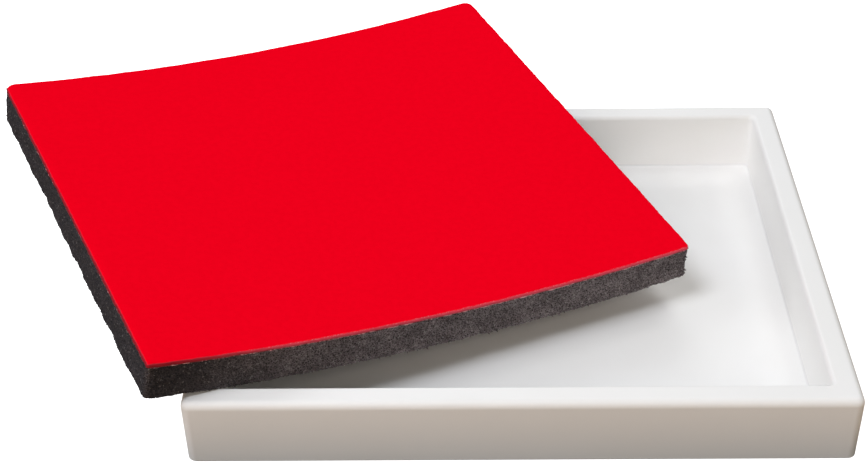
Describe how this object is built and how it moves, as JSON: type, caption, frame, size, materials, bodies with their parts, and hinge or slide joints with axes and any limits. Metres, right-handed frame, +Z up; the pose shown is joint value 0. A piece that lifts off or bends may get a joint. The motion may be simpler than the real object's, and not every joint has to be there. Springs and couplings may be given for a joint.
{
  "type": "ink pad",
  "caption": "Open rectangular tray with a thin curled foam pad, felt on top, lying askew over its back and left rims.",
  "frame": {"origin": "centre of the tray's flat underside", "axes": "+X along the tray's long side, to the right from the front; +Y towards its back; +Z up, out of the tray's mouth"},
  "size_m": [0.232, 0.1906, 0.0419],
  "materials": {
    "tray_plastic": "satin",
    "foam": "matte",
    "adhesive": "matte",
    "felt": "matte"
  },
  "bodies": {
    "tray": {"tray": "tray_plastic"},
    "pad": {"foam_core": "foam", "bond_film": "adhesive", "felt_face": "felt"}
  },
  "joints": [
    {"name": "pad_lift", "type": "slide", "parent": "tray", "child": "pad", "axis": [0, 0, 1], "range_m": [0, 0.06]}
  ]
}
